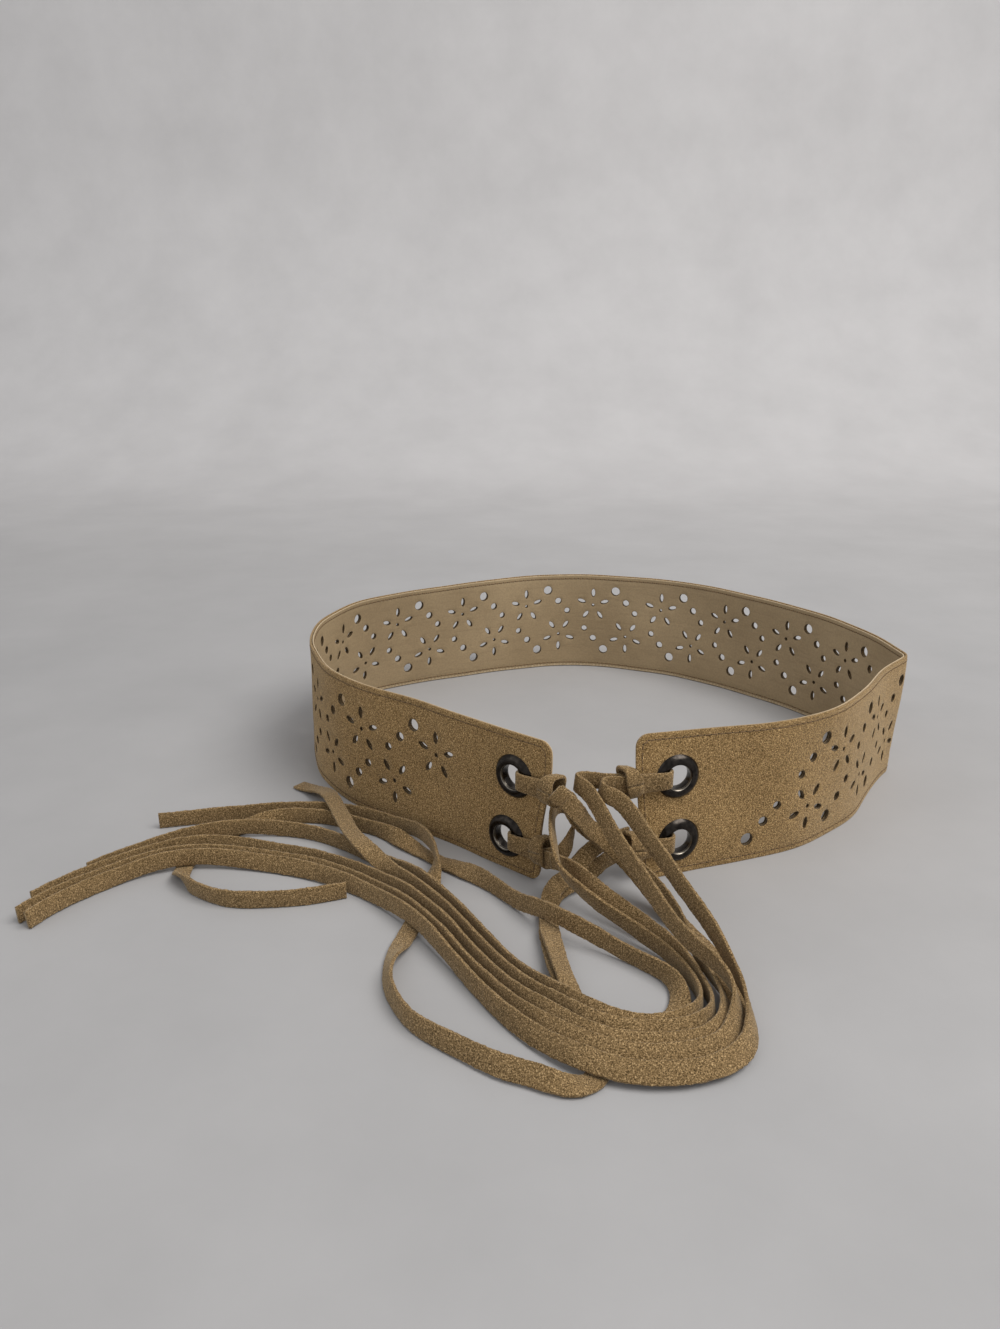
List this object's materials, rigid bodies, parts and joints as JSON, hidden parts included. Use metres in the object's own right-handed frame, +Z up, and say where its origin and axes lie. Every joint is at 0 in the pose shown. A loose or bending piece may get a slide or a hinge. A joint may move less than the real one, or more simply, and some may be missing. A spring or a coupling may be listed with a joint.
{
  "type": "corset belt",
  "caption": "Wide lace-up waist belt of pierced suede with a smooth lining, metal eyelets at its ends, and flat laces hitched through them whose tails lie loose on the surface.",
  "frame": {"origin": "bottom centre of the belt's box without the loose lace tails, on the surface it stands on", "axes": "+X along the loop's width, to the wearer's left as seen from the opening; -Y out of the laced opening; +Z up"},
  "size_m": [0.4418, 0.4551, 0.072],
  "materials": {
    "suede": "napped suede, matt",
    "lining": "smooth grain, satin",
    "lace": "napped suede, matt",
    "dark_bronze": "dark polished plating"
  },
  "bodies": {
    "root": {"belt_suede": "suede", "belt_lining": "lining", "eyelet_upper_left": "dark_bronze", "eyelet_lower_left": "dark_bronze", "eyelet_upper_right": "dark_bronze", "eyelet_lower_right": "dark_bronze", "hitch_upper_left": "lace", "hitch_lower_left": "lace", "hitch_upper_right": "lace", "hitch_lower_right": "lace", "lace_upper_right_a": "lace", "lace_upper_right_b": "lace", "lace_upper_left_a": "lace", "lace_upper_left_b": "lace", "lace_lower_left_a": "lace", "lace_lower_left_b": "lace", "lace_lower_right_a": "lace", "lace_lower_right_b": "lace"}
  },
  "joints": []
}
